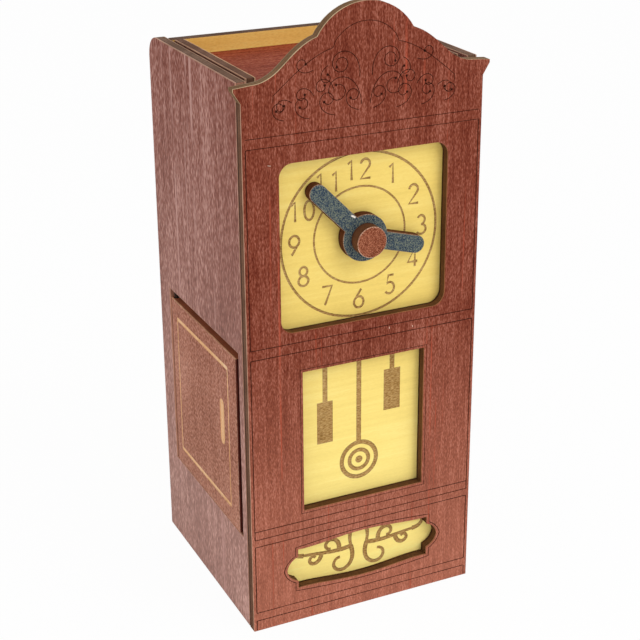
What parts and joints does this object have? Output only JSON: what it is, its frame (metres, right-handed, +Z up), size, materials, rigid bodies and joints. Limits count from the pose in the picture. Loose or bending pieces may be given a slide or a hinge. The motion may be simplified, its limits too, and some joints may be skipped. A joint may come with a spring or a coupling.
{
  "type": "clock diversion safe",
  "caption": "Small plywood longcase clock that hides two compartments: a lift-out lid locked by the turning hands and a flush hinged side door.",
  "frame": {"origin": "middle of the underside of the base: midway between the outer sides, and midway between the fascia's front and the sides' rear edges", "axes": "+Z up; the clock's front faces -Y; +X is to the right seen from the front; the door is in the -X side"},
  "size_m": [0.0972, 0.0954, 0.234],
  "materials": {
    "red_stain": "satin mahogany stain",
    "side_stain": "matt red-brown stain",
    "door_stain": "matt red-brown stain",
    "yellow_stain": "satin yellow stain",
    "orange_stain": "satin yellow-orange stain",
    "blue_stain": "matt slate-blue stain",
    "bare_ply": "unfinished birch plywood",
    "dowel": "unfinished hardwood dowel",
    "steel": "plain steel wire",
    "magnet": "nickel-plated magnet"
  },
  "bodies": {
    "case": {"fascia": "red_stain", "face_board": "yellow_stain", "side_left": "side_stain", "side_right": "side_stain", "lining_left": "bare_ply", "lining_right": "bare_ply", "back_panel": "orange_stain", "base_board": "bare_ply", "middle_shelf": "bare_ply", "bulkhead": "bare_ply", "lid_cleat_left": "bare_ply", "lid_cleat_right": "bare_ply", "lid_cleat_rear": "bare_ply", "shelf_cleat_left": "bare_ply", "shelf_cleat_right": "bare_ply", "base_cleat_left": "bare_ply", "base_cleat_right": "bare_ply", "bulkhead_cleat_left": "bare_ply", "bulkhead_cleat_right": "bare_ply", "door_pin_upper": "steel", "door_pin_lower": "steel", "keeper_magnet": "magnet"},
    "hands": {"hands": "blue_stain", "knob": "red_stain", "spindle": "dowel", "lock_wheel": "bare_ply", "lock_ring": "bare_ply", "spindle_collar": "dowel"},
    "lid": {"lid_board": "red_stain", "lid_hanger": "bare_ply", "lock_peg": "dowel", "hanger_block": "bare_ply"},
    "door": {"door_panel": "door_stain", "door_magnet": "magnet"}
  },
  "joints": [
    {"name": "hands_turn", "type": "hinge", "parent": "case", "child": "hands", "pos_m": [0, 0, 0.15045], "axis": [0, 1, 0], "continuous": true},
    {"name": "lid_lift", "type": "slide", "parent": "case", "child": "lid", "axis": [0, 0, 1], "range_m": [0, 0.06]},
    {"name": "door_swing", "type": "hinge", "parent": "case", "child": "door", "pos_m": [-0.044, 0.0316, 0.0725], "axis": [0, 0, -1], "range_deg": [0, 95]}
  ]
}
